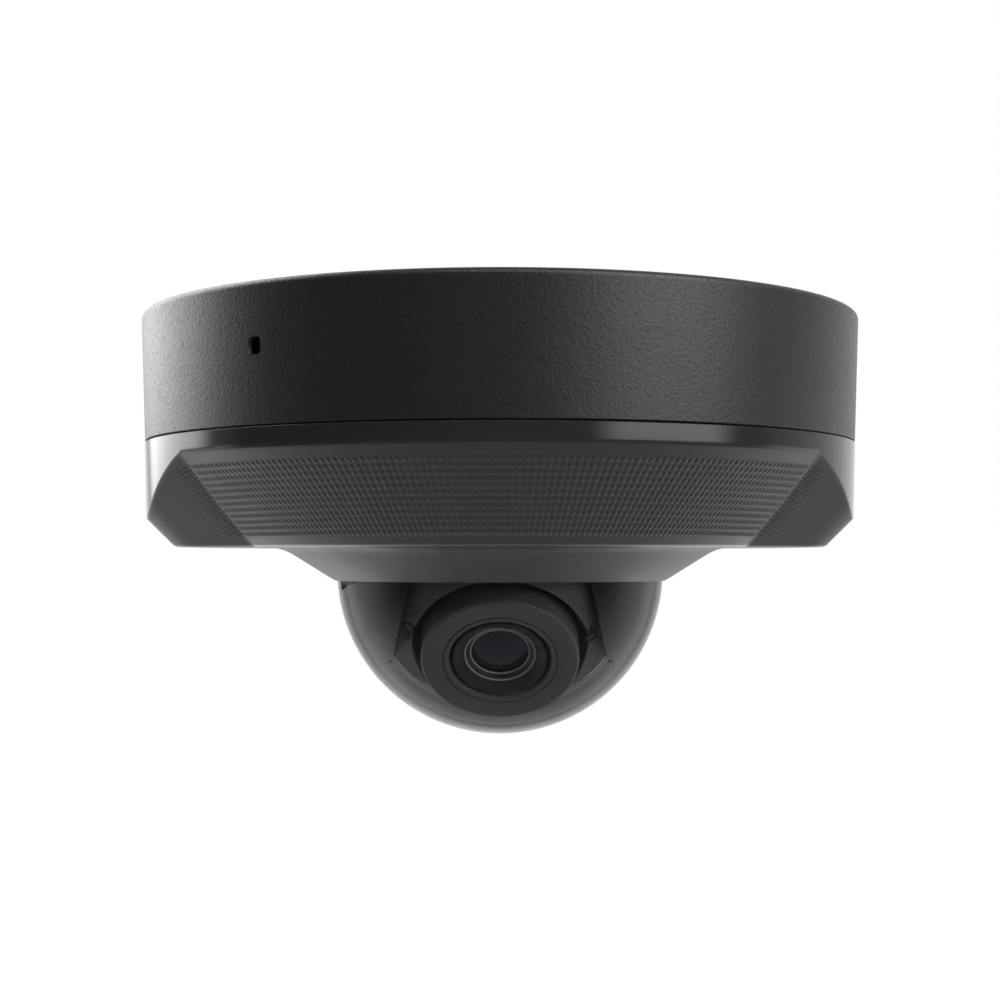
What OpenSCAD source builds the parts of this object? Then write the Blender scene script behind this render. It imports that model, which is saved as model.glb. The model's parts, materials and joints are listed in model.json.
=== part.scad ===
// Mini dome camera for a ceiling: housing, cover, dome and a three-axis lens turret.
// Millimetres. Origin: centre of the ceiling face. +Z up, -Y is the front.

/* [Housing] */
// Outer diameter of the housing at its top edge
housing_d = 110; // [106:1:116]
// Depth of the housing from the ceiling to the seam
seam_depth = 19.6; // [19:0.2:21]
// How much the radius shrinks from the top edge to the seam
draft = 0.6; // [0.2:0.1:1.2]
// Thickness of the moulded walls
wall = 2.2; // [1.8:0.1:2.6]

/* [Cover] */
// Depth of the flat underside below the ceiling
under_depth = 35.3; // [35:0.1:36]
// Height of the plain band above the front cone
band_h = 3; // [2:0.1:4]
// Radius of the front cone where it meets the underside
cone_low_r = 39.6; // [39:0.2:42]
// Length of each leg of the 45 degree edge round the sides and back
chamfer = 4.3; // [3:0.1:5]
// Radius where the flared collar leaves the underside
flare_r = 36; // [34:0.5:37]

/* [Dome] */
// Outer radius of the clear dome
dome_r = 25.35; // [25.2:0.05:25.4]
// Wall thickness of the clear dome
dome_t = 1.35; // [1.2:0.05:1.4]
// Depth of the dome's centre, which is also the tilt axis
pivot_depth = 38.8; // [38.6:0.1:39]

/* [Turret] */
// Angle of the lens below the horizon as set
lens_down = 40; // [25:1:60]
// Outer radius of the ball of the turret
ball_r = 21.9; // [21.6:0.05:22]
// Radius of the lens holder's face
face_r = 11.5; // [11:0.1:11.6]
// Distance from the tilt axis to the lens holder's face
face_at = 20.4; // [20:0.1:20.6]

/* [Ceiling plate] */
// Circle that the four ceiling screws lie on
screw_circle_d = 70; // [66:1:74]
// Radius of each ceiling screw hole
screw_hole_r = 2.25; // [2:0.05:2.5]

/* [Hidden] */
$fn = 96;
eps = 0.01;
slip = 0.05;

// Housing levels, all below the ceiling
housing_r = housing_d / 2;
rim_z = -0.3;
seam_z = -seam_depth;
seam_gap = 0.4;
housing_bottom_z = seam_z + seam_gap / 2;
cover_top_z = seam_z - seam_gap / 2;
seam_r = housing_r - draft;
inner_r = seam_r - wall;
recess_r = 51.2;
roof_top_z = -4.2;
roof_t = 2;
roof_z = roof_top_z - roof_t;

// Cover levels
under_z = -under_depth;
cone_top_z = seam_z - band_h;
side_r = housing_r - 0.9;
floor_t = 2;
floor_z = under_z + floor_t;
spigot_top_z = -17;

// Front facets beside the cone: one plane on each side, through these directions
ear_normal = [0.238, 0.554, 0.798];
ear_distance = 45.83;

// Dome seat
pivot_z = -pivot_depth;
dome_in_r = dome_r - dome_t;
collar_bore_r = dome_r + 0.15;
collar_z = -40.3;
ledge_z = -35.4;
ledge_r = 31.2;
seal_t = 0.8;
flange_t = 1.4;
flange_z = ledge_z + seal_t;
clamp_z = flange_z + flange_t;
clamp_t = 1.6;
clamp_screw_r = 33.6;

// Fixings
cover_screw_r = 46.5;
cover_screw_angles = [20, 160, 90];
post_r = 3.5;
post_split_z = -16.8;
standoff_r = 36;
standoff_angles = [-90, 30, 150];

// Circuit board stack
board_top_z = -9.3;
board_t = 1.6;
board_z = board_top_z - board_t;
board_r = 49;
spreader_t = 1.2;
pad_t = 0.8;
cable_at = [-21, 29];
jack_at = [5, 27];
jack_size = [19, 16, 13.5];
jack_gap = 0.4;
card_at = [-48, -7];
socket_size = [14.5, 14, 1.9];
card_size = [15, 11, 0.8];
switch_at = [36, -18];
port_angle = 233.8;
port_z = -9;

// Pan bearing
chassis_top_z = -18;
chassis_t = 1.2;
pan_base_t = 4;
pan_base_z = chassis_top_z - chassis_t - pan_base_t;
hub_r = 25;
hub_in_r = 22.4;
hub_top_z = -17.7;
flange_top_z = pan_base_z - 0.8;
turn_flange_t = 2;
turn_flange_z = flange_top_z - turn_flange_t;
turn_flange_r = 27;
shroud_r = 23.3;
shroud_in_r = 22.2;
shroud_low = 14.5;

// Tilt and lens rotation
ball_in_r = 20.2;
ball_half_w = 17.5;
arm_in = 18.4;
arm_t = 2;
arm_half_w = 4;
pin_r = 2;
socket_r = 12.95;
journal_r = 10;
plate_at = 4;
plate_t = 3;
barrel_hole_r = 7.45;
thread_r = 6;
barrel_r = 7;
barrel_face_at = 20;
step_at = 12;

// ---- helpers ----

// Points of an arc in a profile, centre c, radius r, from angle a to angle b
function arc(c, r, a, b, n = 8) =
  [for (i = [0 : n]) c + r * [cos(a + (b - a) * i / n), sin(a + (b - a) * i / n)]];

module ring(outer, inner, low, high) {
  translate([0, 0, low])
    difference() {
      cylinder(r = outer, h = high - low);
      translate([0, 0, -1]) cylinder(r = inner, h = high - low + 2);
    }
}

module post(r, low, high) {
  translate([0, 0, low]) cylinder(r = r, h = high - low);
}

module around(radius, angles) {
  for (a = angles) rotate([0, 0, a]) translate([radius, 0, 0]) children();
}

module block(corner, size) {
  translate(corner) cube(size);
}

// Children drawn with the lens looking along -Y are put at the tilt axis, tilted
module at_turret() {
  translate([0, 0, pivot_z]) rotate([lens_down, 0, 0]) children();
}

// A cylinder on the lens axis between two distances from the tilt axis
module lens_cyl(r, from, to) {
  translate([0, -from, 0]) rotate([90, 0, 0]) cylinder(r = r, h = to - from);
}

module lens_tube(outer, inner, from, to) {
  difference() {
    lens_cyl(outer, from, to);
    lens_cyl(inner, from - 1, to + 1);
  }
}

module x_cyl(r, from, to) {
  translate([from, 0, 0]) rotate([0, 90, 0]) cylinder(r = r, h = to - from);
}

// ---- ceiling plate and housing ----

module mounting_plate() {
  lip_r = 47;
  tab_r = 50.7;
  tab_z = -3.6;
  color("silver")
  difference() {
    union() {
      ring(lip_r, 0, -1.5, 0);
      ring(lip_r, lip_r - 2, tab_z, -1);
      for (a = [90, 210, 330]) {
        rotate([0, 0, a - 12])
          rotate_extrude(angle = 24)
            translate([lip_r - 1, tab_z]) square([tab_r - lip_r + 1, 1.25]);
      }
    }
    around(screw_circle_d / 2, [0, 90, 180, 270]) post(screw_hole_r, -5, 1);
    translate(cable_at) post(7, -5, 1);
  }
}

module lock_screw() {
  color("silver")
  translate([0, 0, -2.95])
    rotate([-90, 0, 0])
      difference() {
        translate([0, 0, 50.75]) cylinder(r = 1, h = 3.4);
        translate([0, 0, 53]) cylinder(r = 0.6, h = 2, $fn = 6);
      }
}

module housing_shell() {
  fillet = 0.9;
  top = [housing_r - fillet, rim_z - fillet];
  rotate_extrude()
    polygon(concat(
      [[0, roof_z], [inner_r, roof_z], [inner_r, housing_bottom_z], [seam_r, housing_bottom_z]],
      arc(top, fillet, 0, 90),
      [[recess_r, rim_z], [recess_r, roof_top_z], [0, roof_top_z]]
    ));
  // Ledges that hang on the ceiling plate's tabs
  for (a = [90, 210, 330]) {
    rotate([0, 0, a - 13])
      rotate_extrude(angle = 26)
        translate([47.5, -2.3]) square([recess_r - 47.5 + 0.5, 1.9]);
  }
  around(cover_screw_r, cover_screw_angles) post(post_r, post_split_z, roof_z + eps);
  around(standoff_r, standoff_angles) post(3, board_top_z, roof_z + eps);
}

module base_housing() {
  port_w = 2.3;
  port_h = 2.4;
  port_corner = 0.7;
  color("#262624")
  difference() {
    housing_shell();
    around(cover_screw_r, cover_screw_angles) post(1.5, post_split_z - 1, roof_z - 1);
    around(standoff_r, standoff_angles) post(1.25, board_top_z - 1, roof_z - 0.5);
    translate(cable_at) post(6, roof_z - 1, roof_top_z + 1);
    translate([0, 0, -2.95]) rotate([-90, 0, 0]) translate([0, 0, 50]) cylinder(r = 1.05, h = 8);
    // Microphone port: a rounded slot through the wall
    rotate([0, 0, port_angle]) translate([inner_r - 1, 0, port_z]) {
      rotate([90, 0, 90])
        linear_extrude(6) {
          square([port_w - 2 * port_corner, port_h], center = true);
          square([port_w, port_h - 2 * port_corner], center = true);
          for (x = [-1, 1], y = [-1, 1])
            translate([x * (port_w / 2 - port_corner), y * (port_h / 2 - port_corner)])
              circle(r = port_corner);
        }
    }
  }
}

module cable_grommet() {
  color("#202020")
  translate(cable_at)
    difference() {
      union() {
        post(5.95, roof_z - 0.5, roof_top_z + 0.5);
        post(7.4, roof_z - 1.5, roof_z - slip);
        post(7.4, roof_top_z + slip, roof_top_z + 1);
      }
      post(3.1, roof_z - 3, roof_top_z + 3);
    }
}

// ---- electronics above the chassis ----

module heat_spreader() {
  color("lightgrey")
  difference() {
    ring(28, 0, roof_z - spreader_t, roof_z - eps);
    translate(cable_at) post(11, roof_z - 5, roof_z + 1);
  }
}

module thermal_pad() {
  color("slateblue")
  block([-8, -8, roof_z - spreader_t - pad_t], [16, 16, pad_t]);
}

module processor_chip() {
  pad_z = roof_z - spreader_t - pad_t;
  color("#1c1c1e")
  block([-7, -7, board_top_z], [14, 14, pad_z - board_top_z]);
}

module main_board() {
  color("darkgreen")
  difference() {
    ring(board_r, 0, board_z, board_top_z);
    around(standoff_r, standoff_angles) post(1.5, board_z - 1, board_top_z + 1);
    around(cover_screw_r, cover_screw_angles) post(post_r + 0.5, board_z - 1, board_top_z + 1);
    // Bay that the network cable comes down through
    translate(cable_at) post(10, board_z - 1, board_top_z + 1);
    rotate([0, 0, 126]) block([36, -10, board_z - 1], [16, 20, board_t + 2]);
    rotate([0, 0, port_angle]) translate([board_r, 0, 0]) post(5, board_z - 1, board_top_z + 1);
  }
}

module board_standoffs() {
  color("gold")
  around(standoff_r, standoff_angles)
    difference() {
      union() {
        translate([0, 0, chassis_top_z]) cylinder(r = 2.9, h = board_z - chassis_top_z, $fn = 6);
        post(1.2, board_z - eps, roof_z - 1);
      }
      post(1.25, chassis_top_z - 1, chassis_top_z + 5);
    }
}

module network_jack() {
  x = jack_at[0];
  y = jack_at[1];
  z = board_z - jack_size[2];
  color("silver")
  difference() {
    block([x, y, z], jack_size);
    block([x - 1, y + 2, z + 3.4], [14, 12, 7]);
    block([x - 1, y + 5, z + 1.4], [14, 6, 3]);
  }
}

module jack_contacts() {
  x = jack_at[0];
  y = jack_at[1];
  z = board_z - jack_size[2];
  color("gold")
  for (i = [0 : 7]) {
    block([x + 2, y + 4.2 + i * 1.02, z + 9.7], [10, 0.45, 0.6]);
  }
}

module power_terminal() {
  low = board_z - 8;
  color("green")
  difference() {
    block([36, -8, low], [10, 8, 8]);
    for (y = [-6, -2]) {
      translate([33, y, low + 3]) rotate([0, 90, 0]) cylinder(r = 1.4, h = 8);
      translate([41, y, 0]) post(1.2, low - 1, low + 1.5);
    }
  }
}

module card_socket() {
  low = board_z - socket_size[2];
  color("silver")
  difference() {
    block([card_at[0], card_at[1], low], socket_size);
    block([card_at[0] + 0.8, card_at[1] + 1.3, low + 0.4], [20, 11.4, 1.1]);
  }
}

module memory_card() {
  low = board_z - socket_size[2] + 0.55;
  color("#181818")
  difference() {
    block([card_at[0] + 1, card_at[1] + 1.5, low], card_size);
    block([card_at[0], card_at[1] + 10.6, low - 1], [5, 3, 3]);
  }
}

module reset_switch() {
  color("silver")
  translate(switch_at)
    difference() {
      block([-2.5, -2.5, board_z - 1.8], [5, 5, 1.8]);
      post(1.2, board_z - 3, board_z - 0.4);
    }
}

module reset_button() {
  color("#222222")
  translate(switch_at) post(1.1, board_z - 2.8, board_z - 0.9);
}

module flex_connector() {
  color("ivory")
  block([-8, -45, board_z - 2], [16, 4, 2]);
}

// ---- chassis and pan bearing ----

// Clearance round the jack in the parts it hangs past
module jack_notch(low, high) {
  block(
    [jack_at[0] - jack_gap, jack_at[1] - jack_gap, low - 1],
    [jack_size[0] + 2 * jack_gap, jack_size[1] + 2 * jack_gap, high - low + 2]
  );
}

module chassis_plate() {
  low = chassis_top_z - chassis_t;
  color("lightgrey")
  difference() {
    union() {
      ring(31, 0, low, chassis_top_z);
      for (a = standoff_angles) {
        rotate([0, 0, a]) block([26, -5, low], [standoff_r - 26, 10, chassis_t]);
      }
      around(standoff_r, standoff_angles) post(5, low, chassis_top_z);
    }
    post(hub_r + 0.5, low - 1, chassis_top_z + 1);
    around(standoff_r, standoff_angles) post(1.5, low - 1, chassis_top_z + 1);
    jack_notch(low, chassis_top_z);
  }
}

module chassis_screws() {
  low = chassis_top_z - chassis_t;
  color("silver")
  around(standoff_r, standoff_angles) {
    difference() {
      post(2.6, low - 1.6, low);
      translate([0, 0, low - 2]) cylinder(r = 1.2, h = 1.4, $fn = 6);
    }
    post(1.2, low - eps, chassis_top_z + 4);
  }
}

module pan_base() {
  top = chassis_top_z - chassis_t;
  color("#2b2b2b")
  difference() {
    ring(31, hub_r + slip, pan_base_z, top);
    around(28.8, [30, 150, 270]) post(1, pan_base_z - 1, top + 1);
    jack_notch(pan_base_z, top);
  }
}

module pan_base_screws() {
  top = chassis_top_z - chassis_t;
  color("silver")
  around(28.8, [30, 150, 270]) {
    post(1.6, pan_base_z - 1, pan_base_z);
    post(0.95, pan_base_z - eps, top - 0.2);
  }
}

// ---- microphone ----

module at_port() {
  rotate([0, 0, port_angle]) translate([0, 0, port_z]) rotate([0, 90, 0]) children();
}

module microphone_mesh() {
  color("grey")
  at_port() translate([0, 0, inner_r - 0.35]) cylinder(r = 2.2, h = 0.2);
}

module microphone_boot() {
  color("#1a1a1a")
  at_port()
    difference() {
      translate([0, 0, inner_r - 3.4]) cylinder(r = 2.7, h = 3);
      translate([0, 0, inner_r - 4]) cylinder(r = 1.95, h = 2.6);
      cylinder(r = 0.6, h = inner_r);
    }
}

module microphone_capsule() {
  color("silver")
  at_port() translate([0, 0, inner_r - 3.2]) cylinder(r = 1.9, h = 1.6);
}

// ---- cover and dome ----

// Outer form of the cover, brought in by t on every side but the top
module cover_form(t) {
  low = under_z + t;
  edge_z = under_z + chamfer;
  cone_slope = (side_r - cone_low_r) / (cone_top_z - under_z);
  cone_in = t * sqrt(1 + cone_slope * cone_slope);
  edge_in = t * (sqrt(2) - 1);
  big = 80;
  intersection() {
    rotate_extrude()
      polygon([
        [0, low], [side_r - chamfer - edge_in, low], [side_r - t, edge_z + edge_in],
        [seam_r - t, cover_top_z], [0, cover_top_z]
      ]);
    union() {
      // Everything above the cone's top edge, then the cone itself
      rotate_extrude()
        polygon([
          [0, under_z - 1], [cone_low_r - cone_in - cone_slope, under_z - 1],
          [side_r + cone_slope - cone_in, cone_top_z + 1], [big, cone_top_z + 1],
          [big, cover_top_z + 1], [0, cover_top_z + 1]
        ]);
      // The side and back, behind each front facet
      for (s = [-1, 1]) {
        n = [-s * ear_normal[0], ear_normal[1], ear_normal[2]];
        intersection() {
          rotate([0, 0, atan2(n[1], n[0])])
            rotate([0, acos(n[2]), 0])
              translate([-2 * big, -2 * big, -ear_distance + t]) cube(4 * big);
          translate([s > 0 ? 0 : -big, -big, -big]) cube([big, 2 * big, big]);
        }
      }
    }
  }
}

// The flared collar below the underside, with the dome's seat in it
module collar() {
  flare_arc = 7.5;
  slope = 32;
  rotate_extrude()
    polygon(concat(
      [[collar_bore_r, floor_z], [collar_bore_r, collar_z], [collar_bore_r + 0.3, collar_z - 0.05]],
      arc([flare_r, under_z - flare_arc], flare_arc, 90 + slope, 90),
      [[flare_r + 1, floor_z]]
    ));
}

module front_cover() {
  spigot_r = inner_r - 0.3;
  color("#2a2a28")
  difference() {
    union() {
      difference() {
        cover_form(0);
        cover_form(floor_t);
        post(seam_r - floor_t, cover_top_z - eps, cover_top_z + 1);
      }
      collar();
      ring(spigot_r, spigot_r - 2.3, cover_top_z - 1, spigot_top_z);
      intersection() {
        around(cover_screw_r, cover_screw_angles) post(post_r, floor_z - 1, post_split_z - 0.1);
        post(spigot_r, under_z, 0);
      }
    }
    // Groove for the seam seal
    ring(inner_r + 1, spigot_r - 0.85, -19.1, -17.9);
    // Through the collar, then the seat for the flange
    post(collar_bore_r, collar_z - 1, cover_top_z);
    post(ledge_r, ledge_z, floor_z + eps);
    around(cover_screw_r, cover_screw_angles) {
      post(1.6, under_z - 1, 0);
      post(3, under_z - 1, under_z + 3);
    }
    around(clamp_screw_r, [45, 135, 225, 315]) post(0.95, floor_z - 1.7, floor_z + 1);
  }
}

module cover_seal() {
  color("#111111")
  rotate_extrude() translate([51.6, -18.5]) circle(r = 0.5);
}

module cover_screws() {
  head_low = under_z + 0.4;
  color("silver")
  around(cover_screw_r, cover_screw_angles) {
    difference() {
      post(2.8, head_low, under_z + 3);
      translate([0, 0, head_low - 1]) cylinder(r = 1.3, h = 2.4, $fn = 6);
    }
    post(1.45, under_z + 3 - eps, -8.5);
  }
}

module dome_seal() {
  color("#111111")
  ring(30.5, dome_r + 0.5, ledge_z, flange_z);
}

module dome_bubble() {
  color("#3a3a3a", 0.4)
  rotate_extrude()
    difference() {
      intersection() {
        union() {
          translate([0, pivot_z]) circle(r = dome_r);
          translate([0, pivot_z]) square([dome_r, clamp_z - pivot_z]);
          translate([0, flange_z]) square([30.8, flange_t]);
        }
        translate([0, -100]) square([60, 100 + clamp_z]);
      }
      translate([0, pivot_z]) circle(r = dome_in_r);
      translate([-1, pivot_z]) square([dome_in_r + 1, clamp_z - pivot_z + 1]);
    }
}

module dome_clamp_ring() {
  color("#303030")
  difference() {
    ring(36, 25.2, clamp_z, clamp_z + clamp_t);
    around(clamp_screw_r, [45, 135, 225, 315]) post(1.1, clamp_z - 1, clamp_z + 3);
  }
}

module clamp_screws() {
  top = clamp_z + clamp_t;
  color("silver")
  around(clamp_screw_r, [45, 135, 225, 315]) {
    difference() {
      post(1.8, top, top + 1.3);
      translate([0, 0, top + 0.5]) cylinder(r = 0.8, h = 1, $fn = 6);
    }
    post(0.9, floor_z - 1.6, top + eps);
  }
}

// ---- pan body ----

module pan_turntable() {
  color("#222222")
  difference() {
    union() {
      ring(hub_r, hub_in_r, flange_top_z - eps, hub_top_z);
      ring(turn_flange_r, 18.3, turn_flange_z, flange_top_z);
    }
    around(23.7, [0, 120, 240]) post(0.65, hub_top_z - 4, hub_top_z + 1);
    for (s = [-1, 1], y = [-2.6, 2.6]) {
      translate([s * 19.9, y, 0]) post(0.65, turn_flange_z - 1, turn_flange_z + 1.6);
    }
  }
}

module friction_washer() {
  color("silver")
  ring(26.6, hub_r + slip, flange_top_z + 0.2, flange_top_z + 0.6);
}

module pan_retainer() {
  color("silver")
  difference() {
    ring(26.9, 22.5, hub_top_z, hub_top_z + 1.2);
    around(23.7, [0, 120, 240]) post(0.8, hub_top_z - 1, hub_top_z + 2);
  }
}

module retainer_screws() {
  top = hub_top_z + 1.2;
  color("silver")
  around(23.7, [0, 120, 240]) {
    post(1.1, top, top + 0.8);
    post(0.6, hub_top_z - 3.5, top + eps);
  }
}

module pan_shroud() {
  // Slot half width against height over the tilt axis, from the top down
  slot = [[12.2, 8], [12.9, -1.4], [15.4, -11.8], [15.7, -12.6], [17.8, -shroud_low]];
  slot_side = concat(slot, [[17.8, -30]]);
  color("#1d1d1d")
  translate([0, 0, pivot_z])
    difference() {
      union() {
        sphere(r = shroud_r);
        cylinder(r = shroud_r, h = turn_flange_z - pivot_z);
      }
      sphere(r = shroud_in_r);
      cylinder(r = shroud_in_r, h = 30);
      translate([0, 0, -60 - shroud_low]) cylinder(r = 60, h = 60);
      translate([0, 0, turn_flange_z - pivot_z]) cylinder(r = 60, h = 60);
      rotate([90, 0, 0])
        linear_extrude(40)
          polygon(concat(slot_side, [for (i = [len(slot_side) - 1 : -1 : 0])
            [-slot_side[i][0], slot_side[i][1]]]));
    }
}

module tilt_yoke() {
  color("#2d2d2d")
  difference() {
    for (s = [-1, 1]) {
      inner = s > 0 ? arm_in : -arm_in - arm_t;
      block([inner, -arm_half_w, pivot_z], [arm_t, 2 * arm_half_w, turn_flange_z - pivot_z]);
      translate([0, 0, pivot_z]) x_cyl(arm_half_w, inner, inner + arm_t);
    }
    translate([0, 0, pivot_z]) x_cyl(pin_r + slip, -30, 30);
    for (s = [-1, 1], y = [-2.6, 2.6]) {
      translate([s * 19.9, y, 0]) post(0.65, turn_flange_z - 4, turn_flange_z + 1);
    }
  }
}

module tilt_washers() {
  color("silver")
  translate([0, 0, pivot_z])
    difference() {
      for (x = [-arm_in + 0.1, ball_half_w + 0.2]) x_cyl(4.5, x, x + 0.6);
      x_cyl(pin_r + 0.1, -30, 30);
    }
}

// ---- tilt body ----

module turret_ball() {
  facet_n = [0.527, -0.051, 0.848];
  facet_at = 20.9;
  color("#232323")
  at_turret()
    difference() {
      union() {
        difference() {
          intersection() {
            sphere(r = ball_r);
            block([-ball_half_w, -30, -30], [2 * ball_half_w, 42, 60]);
          }
          intersection() {
            sphere(r = ball_in_r);
            block([-ball_half_w + 1.6, -30, -30], [2 * ball_half_w - 3.2, 60, 60]);
          }
        }
        // Bulkhead that the lens holder turns in
        intersection() {
          sphere(r = ball_in_r + 0.5);
          lens_cyl(30, plate_at, plate_at + plate_t);
          block([-ball_half_w + 1, -30, -30], [2 * ball_half_w - 2, 60, 60]);
        }
        for (s = [-1, 1]) x_cyl(4, s > 0 ? 12.6 : -16.6, s > 0 ? 16.6 : -12.6);
      }
      lens_cyl(socket_r, plate_at + plate_t, 30);
      lens_cyl(journal_r + slip, plate_at - 1, 10);
      x_cyl(pin_r, -30, -12);
      x_cyl(pin_r, 12, 30);
      // Flats beside the lens that carry the rotation scale
      for (s = [-1, 1]) {
        mirror([s > 0 ? 0 : 1, 0, 0])
          rotate([0, 0, atan2(-facet_n[2], facet_n[0])])
            rotate([0, acos(facet_n[1]), 0])
              translate([-12, -12, facet_at]) cube(24);
      }
    }
}

module tilt_pins() {
  color("silver")
  translate([0, 0, pivot_z])
    for (x = [-20.9, 13.2]) x_cyl(pin_r, x, x + 7.7);
}

// ---- lens body ----

module lens_holder() {
  groove_r = 8.35;
  color("#2e2e2e")
  at_turret()
    difference() {
      union() {
        lens_cyl(face_r, 7.3, face_at);
        lens_cyl(journal_r, 2, 7.3 + eps);
      }
      lens_cyl(barrel_hole_r, step_at, face_at + 1);
      lens_cyl(thread_r + slip, 1, step_at + 1);
      lens_tube(groove_r + 0.12, groove_r - 0.12, face_at - 0.3, face_at + 1);
      for (x = [-7.8, 7.8]) translate([x, 0, 0]) lens_cyl(0.65, 1, 5);
    }
}

module holder_clip() {
  color("silver")
  at_turret() lens_tube(11.6, journal_r, 2.4, 3.6);
}

module lens_barrel() {
  color("#141414")
  at_turret()
    difference() {
      union() {
        lens_cyl(barrel_r, step_at + 0.1, barrel_face_at);
        lens_cyl(thread_r, 3, step_at + 0.2);
      }
      // Sloped mouth, seat of the front lens, then the light path
      translate([0, -18.9, 0]) rotate([90, 0, 0]) cylinder(r1 = 5.2, r2 = 6.7, h = 1.11);
      lens_cyl(5.2, 16.4, 19);
      lens_cyl(4.2, 5, 17);
      lens_cyl(3.2, 2, 6);
    }
}

module lens_trim_ring() {
  color("silver")
  at_turret() lens_tube(5.15, 4.4, 18.3, 18.9);
}

module front_lens() {
  bulge_r = 8.2;
  bulge_at = 11;
  color("#0c0c14", 0.5)
  at_turret()
    union() {
      lens_cyl(5.15, 16.5, 18.25);
      intersection() {
        translate([0, -bulge_at, 0]) sphere(r = bulge_r);
        lens_cyl(4.35, 18, 22);
      }
    }
}

module rear_lens() {
  color("#0c0c14", 0.5)
  at_turret()
    intersection() {
      lens_cyl(4.15, 6.2, 9);
      translate([0, -2.5, 0]) sphere(r = 6.4);
    }
}

module filter_window() {
  color("#401c24", 0.6)
  at_turret() lens_cyl(5.8, 2.1, 2.8);
}

module image_sensor() {
  color("#101018")
  at_turret() block([-4.5, -1.3, -3.5], [9, 1.3, 7]);
}

module sensor_board() {
  color("darkgreen")
  at_turret()
    difference() {
      intersection() {
        block([-10, 0, -10], [20, 1.2, 20]);
        lens_cyl(12.6, -2, 1);
      }
      for (x = [-7.8, 7.8]) translate([x, 0, 0]) lens_cyl(0.8, -3, 1);
    }
}

module sensor_screws() {
  color("silver")
  at_turret()
    for (x = [-7.8, 7.8]) {
      translate([x, 0, 0]) lens_cyl(1.3, -2.2, -1.2);
      translate([x, 0, 0]) lens_cyl(0.6, -1.3, 4.5);
    }
}

mounting_plate();
lock_screw();
base_housing();
cable_grommet();
heat_spreader();
thermal_pad();
processor_chip();
main_board();
board_standoffs();
network_jack();
jack_contacts();
power_terminal();
card_socket();
memory_card();
reset_switch();
reset_button();
flex_connector();
chassis_plate();
chassis_screws();
pan_base();
pan_base_screws();
microphone_mesh();
microphone_boot();
microphone_capsule();
cover_seal();
front_cover();
cover_screws();
dome_seal();
dome_bubble();
dome_clamp_ring();
clamp_screws();
pan_turntable();
friction_washer();
pan_retainer();
retainer_screws();
pan_shroud();
tilt_yoke();
tilt_washers();
turret_ball();
tilt_pins();
lens_holder();
holder_clip();
lens_barrel();
lens_trim_ring();
front_lens();
rear_lens();
filter_window();
image_sensor();
sensor_board();
sensor_screws();
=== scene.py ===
"""Looks of the mini dome camera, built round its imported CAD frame. Metres, +Z up, -Y is the front."""
import json
import math

import bmesh
import bpy
import numpy as np
from mathutils import Matrix, Vector


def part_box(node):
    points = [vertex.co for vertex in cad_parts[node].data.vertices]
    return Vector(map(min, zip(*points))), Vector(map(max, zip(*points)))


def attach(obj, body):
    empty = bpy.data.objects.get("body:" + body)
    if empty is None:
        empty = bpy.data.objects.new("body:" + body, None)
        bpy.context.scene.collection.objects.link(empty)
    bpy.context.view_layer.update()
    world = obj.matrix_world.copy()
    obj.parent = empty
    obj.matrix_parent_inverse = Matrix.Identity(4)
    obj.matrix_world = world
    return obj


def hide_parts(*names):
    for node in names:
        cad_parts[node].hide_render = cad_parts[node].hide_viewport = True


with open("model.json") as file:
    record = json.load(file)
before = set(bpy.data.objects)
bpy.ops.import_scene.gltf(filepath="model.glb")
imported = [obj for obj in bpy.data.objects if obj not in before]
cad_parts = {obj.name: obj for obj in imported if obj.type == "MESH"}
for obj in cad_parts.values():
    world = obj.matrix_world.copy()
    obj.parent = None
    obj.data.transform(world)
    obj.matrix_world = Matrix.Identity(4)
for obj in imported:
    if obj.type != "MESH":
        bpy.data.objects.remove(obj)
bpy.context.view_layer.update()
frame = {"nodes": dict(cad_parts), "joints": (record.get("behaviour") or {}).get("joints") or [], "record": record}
RECORD = frame["record"]
JOINTS = {j["name"]: j for j in frame["joints"]}
MM = 0.001


# ---- places and sizes, in millimetres, worked out from the frame ----

def box_mm(node):
    """A CAD node's lowest and highest corners in millimetres."""
    lo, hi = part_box(node)
    return lo / MM, hi / MM


HOUSING_LO, HOUSING_HI = box_mm("base_housing")
DOME_LO, DOME_HI = box_mm("dome_bubble")
PIVOT = Vector(JOINTS["turret_tilt"]["pos_m"]) / MM
LENS_AXIS = Vector(JOINTS["lens_rotation"]["axis"]).normalized()

HOUSING_R = (HOUSING_HI.x - HOUSING_LO.x) / 2
RIM_Z = HOUSING_HI.z
HOUSING_BOTTOM = HOUSING_LO.z
SEAM_R = HOUSING_R - 0.6
WALL = 2.2
RECESS_R = 51.2
ROOF_TOP = -4.2
ROOF_LOW = -6.2
PORT_ANGLE = math.radians(36.2)
PORT_Z = -9.0

SEAM_GAP = 0.16
COVER_TOP = HOUSING_BOTTOM - SEAM_GAP
CONE_TOP = -22.6
UNDER_Z = -35.3
SIDE_R = HOUSING_R - 0.9
CHAMFER = 4.3
CONE_LOW_R = 39.6
CONE_SLOPE = (SIDE_R - CONE_LOW_R) / (CONE_TOP - UNDER_Z)
EAR_NORMAL = (0.238, 0.554, 0.798)
EAR_DISTANCE = 45.83
FLARE_R = 36.0
FLARE_ARC = 7.5
FLARE_ANGLE = math.radians(32)
LEDGE_Z = -35.4
LEDGE_R = 31.2
FLOOR_Z = -33.3
# How far the cover's faces blend into each other
RIDGE_BLEND = 0.4
SOFT_BLEND = 2.6
BAND_BLEND = 0.25
SCREW_R = 46.5
SCREW_ANGLES = [math.radians(a) for a in (20, 160, 90)]

DOME_R = PIVOT.z - DOME_LO.z
DOME_T = 1.35
DOME_FLANGE_R = (DOME_HI.x - DOME_LO.x) / 2


# ---- mesh helpers ----

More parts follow.
